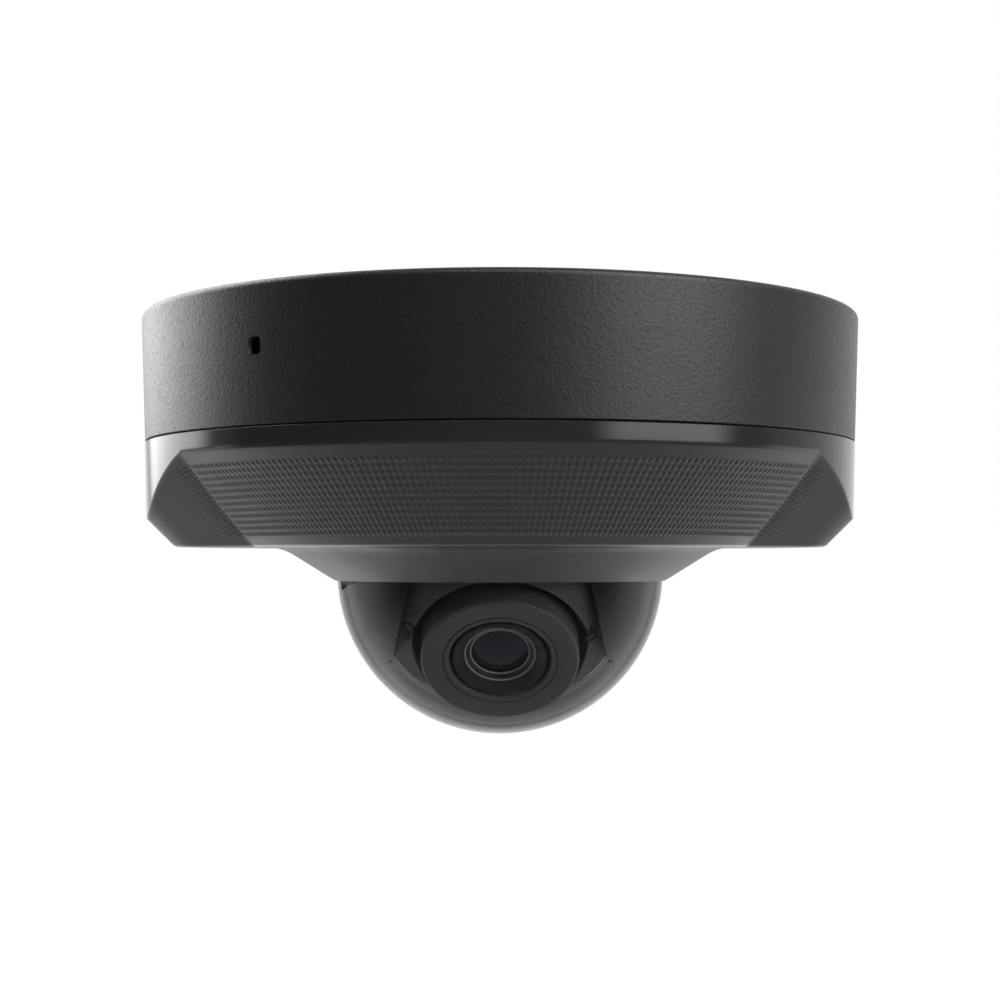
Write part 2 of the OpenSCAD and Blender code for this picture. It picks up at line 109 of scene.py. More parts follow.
def link(name, mesh, material, sharp=30):
    """Adds a mesh object, shaded smooth but for edges sharper than the given angle."""
    obj = bpy.data.objects.new(name, mesh)
    bpy.context.scene.collection.objects.link(obj)
    mesh.materials.append(material)
    mesh.polygons.foreach_set("use_smooth", [True] * len(mesh.polygons))
    mesh.set_sharp_from_angle(angle=math.radians(sharp))
    return obj


def mesh_of(name, points, faces):
    """A mesh from points in millimetres."""
    mesh = bpy.data.meshes.new(name)
    mesh.from_pydata([tuple(c * MM for c in p) for p in points], [], faces)
    mesh.update()
    return mesh


def grid_faces(rows, columns, wrap_rows=True):
    """Quads of a grid stored row by row, closed round its columns, and over its rows if wrap_rows."""
    i = np.arange(rows if wrap_rows else rows - 1)[:, None]
    j = np.arange(columns)[None, :]
    a = i * columns + j
    b = i * columns + (j + 1) % columns
    c = (i + 1) % rows * columns + (j + 1) % columns
    d = (i + 1) % rows * columns + j
    return np.stack([a, b, c, d], -1).reshape(-1, 4)


def arc(centre, radius, start, end, steps=8):
    """Points of an arc in a profile; angles in degrees."""
    turns = [math.radians(start + (end - start) * k / steps) for k in range(steps + 1)]
    return [(centre[0] + radius * math.cos(t), centre[1] + radius * math.sin(t)) for t in turns]


def rounded(profile, radius, steps=4):
    """The closed profile with each corner turned into a short curve of about that radius."""
    out = []
    for k, corner in enumerate(profile):
        corner = Vector(corner)
        before, after = Vector(profile[k - 1]), Vector(profile[(k + 1) % len(profile)])
        reach = min(radius, (before - corner).length * 0.45, (after - corner).length * 0.45)
        start = corner + (before - corner).normalized() * reach
        end = corner + (after - corner).normalized() * reach
        for s in range(steps + 1):
            t = s / steps
            out.append(tuple(start * (1 - t) ** 2 + corner * 2 * t * (1 - t) + end * t * t))
    return out


def lathe(name, profile, material, turns=256, place=Matrix.Identity(4), sharp=30):
    """A ring-shaped solid: the closed profile of (radius, height) turned about Z, then placed."""
    profile = np.array(profile)
    angles = np.linspace(0, 2 * math.pi, turns, endpoint=False)
    r, z = profile[:, 0][:, None], profile[:, 1][:, None]
    points = np.stack([r * np.cos(angles), r * np.sin(angles), z + 0 * angles], -1).reshape(-1, 3)
    mesh = mesh_of(name, points, grid_faces(len(profile), turns).tolist())
    mesh.transform(place)
    return link(name, mesh, material, sharp)


def turned_solid(name, profile, material, turns=192, place=Matrix.Identity(4), sharp=30):
    """A solid without a hole: the profile starts and ends on the axis."""
    inner = profile[1:-1]
    angles = [2 * math.pi * k / turns for k in range(turns)]
    points = [(r * math.cos(a), r * math.sin(a), z) for r, z in inner for a in angles]
    faces = [tuple(f) for f in grid_faces(len(inner), turns, False).tolist()]
    first, last = len(points), len(points) + 1
    points += [(0, 0, profile[0][1]), (0, 0, profile[-1][1])]
    top = (len(inner) - 1) * turns
    for k in range(turns):
        n = (k + 1) % turns
        faces.append((first, n, k))
        faces.append((last, top + k, top + n))
    mesh = mesh_of(name, points, faces)
    mesh.transform(place)
    obj = link(name, mesh, material, sharp)
    fix_normals(obj)
    return obj


def fix_normals(obj):
    """Points every face outwards."""
    bm = bmesh.new()
    bm.from_mesh(obj.data)
    bmesh.ops.recalc_face_normals(bm, faces=bm.faces)
    bm.to_mesh(obj.data)
    bm.free()


def cut(obj, cutters):
    """Takes the cutters' shapes out of obj and deletes them."""
    for cutter in cutters:
        fix_normals(cutter)
        hole = obj.modifiers.new("cut", "BOOLEAN")
        hole.operation, hole.object, hole.solver = "DIFFERENCE", cutter, "EXACT"
        shape = bpy.data.meshes.new_from_object(
            obj.evaluated_get(bpy.context.evaluated_depsgraph_get()))
        obj.modifiers.clear()
        old, obj.data = obj.data, shape
        bpy.data.meshes.remove(old)
        bpy.data.objects.remove(cutter)
    return obj


def round_normals(mesh, least_r):
    """Gives the faces of an outer wall the normals of the true cone, so a cut in it leaves no shadow."""
    normals = [c.vector.copy() for c in mesh.corner_normals]
    for face in mesh.polygons:
        centre, normal = face.center, face.normal
        out = Vector((centre.x, centre.y, 0))
        if out.length < least_r * 0.98 * MM or normal.dot(out.normalized()) < 0.99 or abs(normal.z) > 0.1:
            continue
        if centre.z / MM > RIM_Z - 0.9 or centre.z / MM < HOUSING_BOTTOM + 0.2:
            continue
        for loop in face.loop_indices:
            place = mesh.vertices[mesh.loops[loop].vertex_index].co
            flat = Vector((place.x, place.y, 0)).normalized()
            normals[loop] = Vector((flat.x, flat.y, normal.z)).normalized()
    mesh.normals_split_custom_set(normals)


def stand_for(obj, node):
    """obj takes the place of a CAD node, which it hides, on the same body."""
    body = next(b for b, nodes in RECORD["behaviour"]["bodies"].items() if node in nodes)
    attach(obj, body)
    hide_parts(node)
    return obj


def extra(obj, body):
    """A detail piece of its own that rides on a body."""
    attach(obj, body)
    return obj


# ---- materials ----

def start_material(name, colour, roughness, metallic=0.0):
    """A Principled material with plain values, to be given its detail."""
    mat = bpy.data.materials.new(name)
    mat.use_nodes = True
    tree = mat.node_tree
    shader = tree.nodes["Principled BSDF"]
    shader.inputs["Base Color"].default_value = (*colour, 1)
    shader.inputs["Roughness"].default_value = roughness
    shader.inputs["Metallic"].default_value = metallic
    return mat, tree, shader


def coordinates(tree, stretch=(1, 1, 1)):
    """Object coordinates, stretched along each axis."""
    place = tree.nodes.new("ShaderNodeTexCoord")
    mapping = tree.nodes.new("ShaderNodeMapping")
    mapping.inputs["Scale"].default_value = stretch
    tree.links.new(place.outputs["Object"], mapping.inputs["Vector"])
    return mapping.outputs["Vector"]


def noise(tree, where, per_metre, detail=3.0):
    """Soft noise with so many features to the metre."""
    node = tree.nodes.new("ShaderNodeTexNoise")
    node.inputs["Scale"].default_value = per_metre
    node.inputs["Detail"].default_value = detail
    tree.links.new(where, node.inputs["Vector"])
    return node.outputs["Fac"]


def cells(tree, where, per_metre, feature="SMOOTH_F1"):
    """Distance to the nearest of scattered points, so many cells to the metre."""
    node = tree.nodes.new("ShaderNodeTexVoronoi")
    node.feature = feature
    node.inputs["Scale"].default_value = per_metre
    tree.links.new(where, node.inputs["Vector"])
    return node.outputs["Distance"]


def spread(tree, value, low, high, out_low, out_high):
    """Maps a value from one range to another, held at the ends."""
    node = tree.nodes.new("ShaderNodeMapRange")
    for key, number in zip(("From Min", "From Max", "To Min", "To Max"), (low, high, out_low, out_high)):
        node.inputs[key].default_value = number
    tree.links.new(value, node.inputs["Value"])
    return node.outputs["Result"]


def between(tree, factor, colour_a, colour_b):
    """A colour between two, by a factor."""
    node = tree.nodes.new("ShaderNodeMix")
    node.data_type = "RGBA"
    node.inputs["A"].default_value = (*colour_a, 1)
    node.inputs["B"].default_value = (*colour_b, 1)
    tree.links.new(factor, node.inputs["Factor"])
    return node.outputs["Result"]


def calculate(tree, how, a, b):
    """One sum of two values, each a number or a socket."""
    node = tree.nodes.new("ShaderNodeMath")
    node.operation = how
    for socket, value in zip(node.inputs, (a, b)):
        if isinstance(value, (int, float)):
            socket.default_value = value
        else:
            tree.links.new(value, socket)
    return node.outputs[0]


def raise_surface(tree, shader, height, depth, strength=1.0):
    """Bump from a height of 0 to 1 over depth metres."""
    node = tree.nodes.new("ShaderNodeBump")
    node.inputs["Strength"].default_value = strength
    node.inputs["Distance"].default_value = depth
    tree.links.new(height, node.inputs["Height"])
    tree.links.new(node.outputs["Normal"], shader.inputs["Normal"])


CHARCOAL = (0.0225, 0.0222, 0.0200)
CHARCOAL_WORN = (0.0275, 0.0270, 0.0245)
GRAINED = (0.0135, 0.0133, 0.0120)
GRAINED_WORN = (0.0175, 0.0172, 0.0156)


def housing_plastic():
    """Charcoal plastic from a spark-eroded mould: a fine leather-like grain."""
    mat, tree, shader = start_material("housing_plastic", GRAINED, 0.42)
    where = coordinates(tree)
    grain = cells(tree, where, 2300)
    fine = noise(tree, where, 3600, 2)
    half_grain = calculate(tree, "MULTIPLY", grain, 0.5)
    height = calculate(tree, "ADD", half_grain, calculate(tree, "MULTIPLY", fine, 0.5))
    raise_surface(tree, shader, height, 0.00006, 0.85)
    cloud = noise(tree, where, 60, 4)
    tree.links.new(between(tree, cloud, GRAINED, GRAINED_WORN), shader.inputs["Base Color"])
    tree.links.new(spread(tree, grain, 0.1, 0.8, 0.34, 0.46), shader.inputs["Roughness"])
    return mat


def cover_plastic():
    """Charcoal plastic, polished where the mesh's gloss attribute is 1 and satin where it is 0."""
    mat, tree, shader = start_material("cover_plastic", CHARCOAL, 0.4)
    where = coordinates(tree)
    gloss = tree.nodes.new("ShaderNodeAttribute")
    gloss.attribute_name = "gloss"
    cloud = noise(tree, where, 90, 4)
    satin = spread(tree, cloud, 0.3, 0.7, 0.36, 0.44)
    polish = spread(tree, cloud, 0.3, 0.7, 0.12, 0.16)
    mixed = tree.nodes.new("ShaderNodeMix")
    tree.links.new(gloss.outputs["Fac"], mixed.inputs["Factor"])
    tree.links.new(satin, mixed.inputs["A"])
    tree.links.new(polish, mixed.inputs["B"])
    tree.links.new(mixed.outputs["Result"], shader.inputs["Roughness"])
    tree.links.new(between(tree, cloud, CHARCOAL, CHARCOAL_WORN), shader.inputs["Base Color"])
    fine = noise(tree, where, 4500, 2)
    matte = calculate(tree, "SUBTRACT", 1.0, gloss.outputs["Fac"])
    raise_surface(tree, shader, calculate(tree, "MULTIPLY", fine, matte), 0.00003, 0.5)
    return mat


def moulded(name, colour, roughness, grain=3000, depth=0.00002, vary=0.25):
    """Moulded plastic with a faint grain and a little variation of colour and shine."""
    mat, tree, shader = start_material(name, colour, roughness)
    where = coordinates(tree)
    cloud = noise(tree, where, 150, 4)
    lighter = tuple(min(1, c * (1 + vary)) for c in colour)
    tree.links.new(between(tree, cloud, colour, lighter), shader.inputs["Base Color"])
    shine = spread(tree, cloud, 0.3, 0.7, roughness * 0.85, roughness * 1.15)
    tree.links.new(shine, shader.inputs["Roughness"])
    raise_surface(tree, shader, noise(tree, where, grain, 3), depth, 0.5)
    return mat


def metal(name, colour, roughness, stretch=(1, 1, 1), grain=2500, depth=0.00001):
    """Metal with fine tool or rolling marks along the stretched direction."""
    mat, tree, shader = start_material(name, colour, roughness, 1.0)
    where = coordinates(tree, stretch)
    marks = noise(tree, where, grain, 4)
    darker = tuple(c * 0.75 for c in colour)
    tree.links.new(between(tree, marks, darker, colour), shader.inputs["Base Color"])
    shine = spread(tree, marks, 0.3, 0.7, roughness * 0.7, roughness * 1.3)
    tree.links.new(shine, shader.inputs["Roughness"])
    raise_surface(tree, shader, marks, depth, 0.4)
    return mat


def zinc():
    """Zinc-plated sheet with its faint crystal pattern."""
    mat, tree, shader = start_material("zinc_plate", (0.55, 0.56, 0.57), 0.35, 1.0)
    where = coordinates(tree)
    spangle = cells(tree, where, 260, "F1")
    colour = between(tree, spangle, (0.42, 0.43, 0.45), (0.62, 0.63, 0.64))
    tree.links.new(colour, shader.inputs["Base Color"])
    tree.links.new(spread(tree, noise(tree, where, 900, 4), 0.3, 0.7, 0.28, 0.45), shader.inputs["Roughness"])
    raise_surface(tree, shader, noise(tree, where, 2200, 3), 0.00001, 0.4)
    return mat


def circuit_board():
    """Green solder mask over copper tracks, with rows of tinned pads."""
    mat, tree, shader = start_material("circuit_board", (0.01, 0.08, 0.03), 0.3)
    where = coordinates(tree)
    tracks = tree.nodes.new("ShaderNodeTexBrick")
    tracks.inputs["Scale"].default_value = 260
    tracks.inputs["Mortar Size"].default_value = 0.06
    tracks.inputs["Color1"].default_value = (0.008, 0.07, 0.028, 1)
    tracks.inputs["Color2"].default_value = (0.012, 0.095, 0.036, 1)
    tracks.inputs["Mortar"].default_value = (0.03, 0.19, 0.07, 1)
    tree.links.new(where, tracks.inputs["Vector"])
    tree.links.new(tracks.outputs["Color"], shader.inputs["Base Color"])
    raise_surface(tree, shader, tracks.outputs["Fac"], 0.00004, 0.6)
    tree.links.new(spread(tree, noise(tree, where, 400, 3), 0.3, 0.7, 0.25, 0.4), shader.inputs["Roughness"])
    return mat


def glass(name, tint, ior):
    """Clear tinted material, polished."""
    mat, _, shader = start_material(name, tint, 0.0)
    shader.inputs["Transmission Weight"].default_value = 1.0
    shader.inputs["IOR"].default_value = ior
    return mat


def smoked_dome():
    """Smoked clear polycarbonate, polished, with the faintest waviness of a moulding."""
    mat = glass("smoked_dome", (1, 1, 1), 1.21)
    tree = mat.node_tree
    smoke = tree.nodes.new("ShaderNodeVolumeAbsorption")
    smoke.inputs["Color"].default_value = (0.03, 0.025, 0, 1)
    smoke.inputs["Density"].default_value = 720
    tree.links.new(smoke.outputs["Volume"], tree.nodes["Material Output"].inputs["Volume"])
    where = coordinates(tree)
    raise_surface(tree, tree.nodes["Principled BSDF"], noise(tree, where, 40, 2), 0.00002, 0.25)
    return mat


def coated_glass():
    """Lens glass with a faint violet coating."""
    mat = glass("coated_glass", (0.55, 0.5, 0.62), 1.6)
    shader = mat.node_tree.nodes["Principled BSDF"]
    shader.inputs["Specular Tint"].default_value = (0.75, 0.6, 1.0, 1)
    shader.inputs["Coat Weight"].default_value = 0.3
    shader.inputs["Coat Roughness"].default_value = 0.02
    return mat


MATERIALS = {
    "housing_plastic": housing_plastic(),
    "cover_plastic": cover_plastic(),
    "smoked_dome": smoked_dome(),
    "shroud_plastic": moulded("shroud_plastic", (0.03, 0.03, 0.028), 0.3, 700, 0.000002),
    "turret_plastic": moulded("turret_plastic", (0.15, 0.149, 0.144), 0.4, 3000, 0.000008),
    "inner_plastic": moulded("inner_plastic", (0.018, 0.018, 0.0175), 0.45),
    "lens_black": moulded("lens_black", (0.03, 0.03, 0.029), 0.3, 6000, 0.000008),
    "trim_metal": metal("trim_metal", (0.11, 0.11, 0.105), 0.35),
    # Light-coloured plastic for thin rings that paint highlights round the lens mouth
    "painted_lens_highlight": moulded("painted_lens_highlight", (0.6, 0.6, 0.58), 0.35, 3000, 0.000002, 0.1),
    # Light-coloured plastic for thin strips that paint highlights along the dial flats' lower edges
    "painted_dial_highlight": moulded("painted_dial_highlight", (0.8, 0.8, 0.78), 0.4, 3000, 0.000002, 0.1),
    "dial_ink": moulded("dial_ink", (0.012, 0.012, 0.0115), 0.6),
    "coated_glass": coated_glass(),
    "filter_glass": glass("filter_glass", (0.5, 0.2, 0.28), 1.52),
    "sensor_glass": moulded("sensor_glass", (0.02, 0.022, 0.05), 0.08, 1000, 0.000002),
    "circuit_board": circuit_board(),
    "chip_epoxy": moulded("chip_epoxy", (0.016, 0.016, 0.018), 0.5, 2500, 0.00003),
    "pad_silicone": moulded("pad_silicone", (0.16, 0.25, 0.42), 0.7, 1200, 0.00005),
    "bare_aluminium": metal("bare_aluminium", (0.78, 0.78, 0.79), 0.3, (1, 12, 1)),
    "zinc_plate": zinc(),
    "shield_steel": metal("shield_steel", (0.66, 0.65, 0.62), 0.32, (8, 1, 1)),
    "steel_screw": metal("steel_screw", (0.5, 0.5, 0.5), 0.28),
    "steel_pin": metal("steel_pin", (0.6, 0.6, 0.6), 0.18, (1, 10, 10)),
    "spring_steel": metal("spring_steel", (0.48, 0.48, 0.49), 0.25),
    "mesh_steel": metal("mesh_steel", (0.3, 0.3, 0.3), 0.4, (1, 1, 1), 6000, 0.00008),
    "brass_standoff": metal("brass_standoff", (0.72, 0.52, 0.2), 0.25),
    "gold_contact": metal("gold_contact", (0.9, 0.66, 0.24), 0.2),
    "terminal_plastic": moulded("terminal_plastic", (0.02, 0.22, 0.07), 0.4),
    "connector_plastic": moulded("connector_plastic", (0.7, 0.66, 0.55), 0.5),
    "card_plastic": moulded("card_plastic", (0.015, 0.015, 0.016), 0.35),
    "button_plastic": moulded("button_plastic", (0.02, 0.02, 0.02), 0.4),
    "grommet_rubber": moulded("grommet_rubber", (0.014, 0.014, 0.014), 0.7, 1500, 0.00005),
    "seal_rubber": moulded("seal_rubber", (0.008, 0.008, 0.008), 0.75, 1500, 0.00004),
}


def dress_frame():
    """Gives every CAD node its slot's detailed material."""
    for part in RECORD["subparts"]:
        mesh = frame["nodes"][part["node"]].data
        mesh.materials.clear()
        mesh.materials.append(MATERIALS[part["material_slot"]])


# ---- housing ----

def make_housing():
    """The round housing with its recess for the ceiling plate and the microphone port."""
    fillet = 0.9
    inner = SEAM_R - WALL
    edge = arc((HOUSING_R - fillet, RIM_Z - fillet), fillet, 0, 90, 10)
    profile = [(SEAM_R - 0.12, HOUSING_BOTTOM), (SEAM_R, HOUSING_BOTTOM + 0.12)] + edge + [
        (RECESS_R + 0.3, RIM_Z), (RECESS_R, RIM_Z - 0.3), (RECESS_R, ROOF_TOP), (6.1, ROOF_TOP),
        (6.1, ROOF_LOW), (inner, ROOF_LOW), (inner, HOUSING_BOTTOM)]
    housing = lathe("housing_shell", profile, MATERIALS["housing_plastic"], 480)
    cut(housing, [port_cutter()])
    round_normals(housing.data, SEAM_R - 0.1)
    stand_for(housing, "base_housing")


def port_cutter():
    """A rounded square bar through the wall at the microphone port."""
    half_w, half_h, corner = 1.15, 1.2, 0.7
    outline = []
    for cx, cz, start in ((1, 1, 0), (-1, 1, 90), (-1, -1, 180), (1, -1, 270)):
        outline += arc((cx * (half_w - corner), cz * (half_h - corner)), corner, start, start + 90, 6)
    count = len(outline)
    points = [(x, y, z) for y in (-60, -48) for x, z in outline]
    faces = [(k, (k + 1) % count, count + (k + 1) % count, count + k) for k in range(count)]
    faces += [tuple(range(count)), tuple(range(2 * count - 1, count - 1, -1))]
    mesh = mesh_of("port_cutter", points, faces)
    turn = Matrix.Rotation(-PORT_ANGLE, 4, "Z")
    mesh.transform(Matrix.Translation((0, 0, PORT_Z * MM)) @ turn)
    return link("port_cutter", mesh, MATERIALS["housing_plastic"])


# ---- cover ----

def smooth_min(a, b, k):
    """The smaller of two, blended over k where they are close."""
    h = np.clip(0.5 + 0.5 * (b - a) / k, 0, 1)
    return b * (1 - h) + a * h - k * h * (1 - h)


def smooth_max(a, b, k):
    """The larger of two, blended in the same way."""
    return -smooth_min(-a, -b, k)


def cone_radius(z, inset=0.0):
    """The front cone, which carries the texture."""
    return CONE_LOW_R + (z - UNDER_Z) * CONE_SLOPE - inset * math.hypot(1, CONE_SLOPE)


def ear_radius(phi, z, inset=0.0):
    """Radius of the flat facet beside the cone, phi from the front."""
    reach = EAR_NORMAL[0] * np.abs(np.sin(phi)) + EAR_NORMAL[1] * np.cos(phi)
    reach = np.where(reach < 0.05, 0.05, reach)
    return (EAR_DISTANCE - inset + EAR_NORMAL[2] * z) / reach


def wall_radius(z, inset=0.0):
    """The cover's wall."""
    edge_z = UNDER_Z + CHAMFER
    return SIDE_R + (SEAM_R - SIDE_R) * (z - edge_z) / (COVER_TOP - edge_z) - inset


def edge_radius(z, inset=0.0):
    """The 45 degree edge round the cover's sides and back."""
    return SIDE_R + (z - UNDER_Z - CHAMFER) - inset * math.sqrt(2)


def front_radius(phi, z, inset=0.0):
    """The cone and the flat facets at its ends."""
    return smooth_max(cone_radius(z, inset), ear_radius(phi, z, inset), RIDGE_BLEND)


def cover_radius(phi, z, inset=0.0):
    """Outer radius of the cover at angle phi from the front and height z."""
    soft_edge = smooth_min(front_radius(phi, z, inset), edge_radius(z, inset), SOFT_BLEND)
    return smooth_min(wall_radius(z, inset), soft_edge, BAND_BLEND)


def make_cover():
    """The cover in one skin: wall, gloss band, cone, facets, flare, bore and inside."""
    columns = 1800
    phi = np.linspace(-math.pi, math.pi, columns, endpoint=False)[None, :]
    edge = 0.35
    # Rows of height down the outside, closer together at the band's lower edge
    heights = np.concatenate([
        [COVER_TOP - 0.01, COVER_TOP - 0.12], np.linspace(COVER_TOP - 0.6, CONE_TOP + 0.35, 6),
        np.linspace(CONE_TOP + 0.2, CONE_TOP - 0.2, 9), np.linspace(CONE_TOP - 0.35, UNDER_Z + edge, 84)])
    z = heights[:, None] + 0 * phi
    outside = cover_radius(phi, z)
    outside[0] -= 0.1
    rows_r, rows_z = [outside], [z]
    gloss = [wall_share(phi, z)]

    def add(radius, height, polish=0.0):
        rows_r.append(radius + 0 * phi)
        rows_z.append(height + 0 * phi)
        gloss.append(polish + 0 * phi)

    # Rounded lower edge: a curve from the last row through the sharp corner to the underside
    curve_in, edge_gloss = 0.45, 0.8
    start, corner = outside[-1:], cover_radius(phi, UNDER_Z + 0 * phi)
    for t in (0.2, 0.4, 0.6, 0.8, 1.0):
        add(start * (1 - t) ** 2 + corner * 2 * t * (1 - t) + (corner - curve_in) * t * t,
            UNDER_Z + edge * (1 - t) ** 2, edge_gloss)
    for t in (0.25, 0.5, 0.75):
        add((corner - curve_in) * (1 - t) + (FLARE_R + 0.3) * t, UNDER_Z)
    for k in range(13):
        t = FLARE_ANGLE * k / 12
        add(FLARE_R - FLARE_ARC * math.sin(t), UNDER_Z - FLARE_ARC * (1 - math.cos(t)))
    low_r = FLARE_R - FLARE_ARC * math.sin(FLARE_ANGLE)
    low_z = UNDER_Z - FLARE_ARC * (1 - math.cos(FLARE_ANGLE))
    lip_r = DOME_R + 0.5
    lip_z = low_z - (low_r - lip_r) * math.tan(FLARE_ANGLE)
    for t in (0.2, 0.4, 0.6, 0.8, 1.0):
        add(low_r + (lip_r - low_r) * t, low_z + (lip_z - low_z) * t)
    bore = DOME_R + 0.15
    for r, zz in ((bore + 0.2, lip_z - 0.1), (bore + 0.05, lip_z - 0.05), (bore, lip_z + 0.1),
                  (bore, LEDGE_Z), (LEDGE_R, LEDGE_Z), (LEDGE_R, FLOOR_Z)):
        add(r, zz)
    # The inside, back up to the rim
    thick = 2.0
    inner_z = np.concatenate([[FLOOR_Z, FLOOR_Z + 0.01], np.linspace(FLOOR_Z + 1, CONE_TOP, 10),
                              [COVER_TOP - 0.02]])
    for value in inner_z:
        zz = value + 0 * phi
        add(np.minimum(cover_radius(phi, zz, thick), cover_radius(phi, zz) - 1.2), value)
    r, zz = np.concatenate(rows_r), np.concatenate(rows_z)
    gloss = np.concatenate(gloss)
    points = np.stack([r * np.sin(phi), -r * np.cos(phi), zz], -1).reshape(-1, 3)
    mesh = mesh_of("cover_shell", points, grid_faces(len(r), columns)[:, ::-1].tolist())
    attribute = mesh.attributes.new("gloss", "FLOAT", "POINT")
    attribute.data.foreach_set("value", gloss.reshape(-1).astype(np.float32))
    cover = link("cover_shell", mesh, MATERIALS["cover_plastic"], 35)
    fix_normals(cover)
    cut(cover, [screw_cutter(a) for a in SCREW_ANGLES])
    stand_for(cover, "front_cover")


def wall_share(phi, z):
    """1 on the plain wall and band, 0 on the cone, the facets and the 45 degree edge."""
    soft_edge = smooth_min(front_radius(phi, z), edge_radius(z), SOFT_BLEND)
    return np.clip((soft_edge - wall_radius(z)) / BAND_BLEND + 0.4, 0, 1)


def screw_cutter(angle):
    """The counterbore of one cover screw."""
    bore_r, below, depth = 3.0, 2, 1.9
    profile = [(0, UNDER_Z - below), (bore_r, UNDER_Z - below),
               (bore_r, UNDER_Z + depth), (0, UNDER_Z + depth)]
    place = Matrix.Translation((SCREW_R * MM * math.cos(angle), SCREW_R * MM * math.sin(angle), 0))
    return turned_solid("screw_cutter", profile, MATERIALS["cover_plastic"], 48, place)


def make_texture():
    """The front texture: rows of small rounded pyramids on the cone, and more along each facet's edge."""
    pitch = math.radians(1.074)
    rows, first, last = 12, 0.10, 0.892
    height = 0.17
    sink = 0.03
    steps = 4
    points, faces = [], []
    slope_length = math.hypot(1, CONE_SLOPE)

    def on_cone(angle, t, lift):
        z = CONE_TOP + (UNDER_Z - CONE_TOP) * t
        r = cone_radius(z) + lift / slope_length
        return Vector((r * math.sin(angle), -r * math.cos(angle), z - lift * CONE_SLOPE / slope_length))

    def cell(corners, out, rise):
        """A closed bump over four corners, given in order round the cell."""
        base = len(points)
        a, b, c, d = corners
        for i in range(steps + 1):
            for j in range(steps + 1):
                u, v = i / steps, j / steps
                foot = (a * (1 - u) + b * u) * (1 - v) + (d * (1 - u) + c * u) * v
                points.append(tuple(foot + out * rise * math.sin(math.pi * u) * math.sin(math.pi * v)))
        for i in range(steps):
            for j in range(steps):
                k = base + i * (steps + 1) + j
                faces.append((k, k + 1, k + steps + 2, k + steps + 1))
        side = [(0, j) for j in range(steps)] + [(i, steps) for i in range(steps)]
        side += [(steps, j) for j in range(steps, 0, -1)] + [(i, 0) for i in range(steps, 0, -1)]
        faces.append(tuple(base + i * (steps + 1) + j for i, j in reversed(side)))

    def limit(t):
        """Angle where the cone meets the flat facet at slant position t."""
        z = CONE_TOP + (UNDER_Z - CONE_TOP) * t
        low, high = math.radians(30), math.radians(100)
        for _ in range(40):
            middle = (low + high) / 2
            if float(ear_radius(middle, z)) < cone_radius(z):
                low = middle
            else:
                high = middle
        return low

    step = (last - first) / rows
    for row in range(rows):
        top, low = first + row * step, first + (row + 1) * step
        edge_top, edge_low = limit(top) - 0.004, limit(low) - 0.004
        for side in (-1, 1):
            for k in range(int(edge_top / pitch) + 1):
                a0, a1 = k * pitch, (k + 1) * pitch
                if a0 >= min(edge_top, edge_low):
                    continue
                t0, t1 = min(a1, edge_top), min(a1, edge_low)
                corners = [on_cone(side * a0, top, -sink), on_cone(side * t0, top, -sink),
                           on_cone(side * t1, low, -sink), on_cone(side * a0, low, -sink)]
                share = min(1.0, (min(t0, t1) - a0) / pitch)
                out = (on_cone(side * a0, top, 1) - on_cone(side * a0, top, 0)).normalized()
                cell(corners if side > 0 else corners[::-1], out, height * share + sink)
    # On each flat facet the rows run along its edge with the cone, each a little lower than the one before
    n = Vector(EAR_NORMAL)
    start, end = on_cone(-limit(first), first, 0), on_cone(-limit(last), last, 0)
    along = (end - start).normalized()
    length = (end - start).length
    across = n.cross(along)
    if across.x > 0:
        across.negate()
    ear_pitch, ear_step = 0.62, 0.86
    for side in (-1, 1):
        flip = np.array((-side, 1, 1))
        for line in range(6):
            v0 = line * ear_pitch
            rise = height * (0.9 - 0.1 * line) + sink
            for k in range(int((length - 0.25 * line) / ear_step)):
                u0 = 0.3 * line + k * ear_step
                spots = ((u0, v0), (u0 + ear_step, v0), (u0 + ear_step, v0 + ear_pitch), (u0, v0 + ear_pitch))
                corners = [start + along * u + across * v + n * sink for u, v in spots]
                corners = [Vector(np.array(c) * flip) for c in corners]
                cell(corners, Vector(np.array(-n) * flip), rise)
    texture = link("cover_texture", mesh_of("cover_texture", points, faces), MATERIALS["cover_plastic"], 75)
    fix_normals(texture)
    extra(texture, "housing")


# ---- dome ----

def make_dome():
    """The smoked dome: a hollow half ball with a short straight neck and a flange."""
    inner = DOME_R - DOME_T
    z = PIVOT.z
    flange_z = DOME_HI.z - 1.4
    profile = arc((0, z), DOME_R, -90, 0, 64) + [
        (DOME_R, flange_z), (DOME_FLANGE_R, flange_z), (DOME_FLANGE_R, DOME_HI.z),
        (inner, DOME_HI.z)] + arc((0, z), inner, 0, -90, 64)
    dome = turned_solid("dome_shell", profile, MATERIALS["smoked_dome"], 384)
    # Light reaches the lens head without passing through the shell, which keeps it free of grain
    dome.visible_shadow = dome.visible_diffuse = dome.visible_glossy = False
    stand_for(dome, "dome_bubble")


# ---- turret ----

def lens_place():
    """Matrix that puts a part turned about Z onto the lens axis at the tilt axis."""
    z = LENS_AXIS
    x = Vector((1, 0, 0))
    y = z.cross(x)
    turn = Matrix((x, y, z)).transposed().to_4x4()
    return Matrix.Translation(PIVOT * MM) @ turn


LENS_PLACE = lens_place()
TURRET_PLACE = Matrix.Translation(PIVOT * MM) @ Matrix.Rotation(math.asin(-LENS_AXIS.z), 4, "X")
DIAL_NORMAL = (0.527, -0.848, -0.051)
DIAL_AT = 20.9
DIAL_R = 6.5
FACE_R = 11.5
FACE_AT = 20.4
BARREL_AT = 20.0


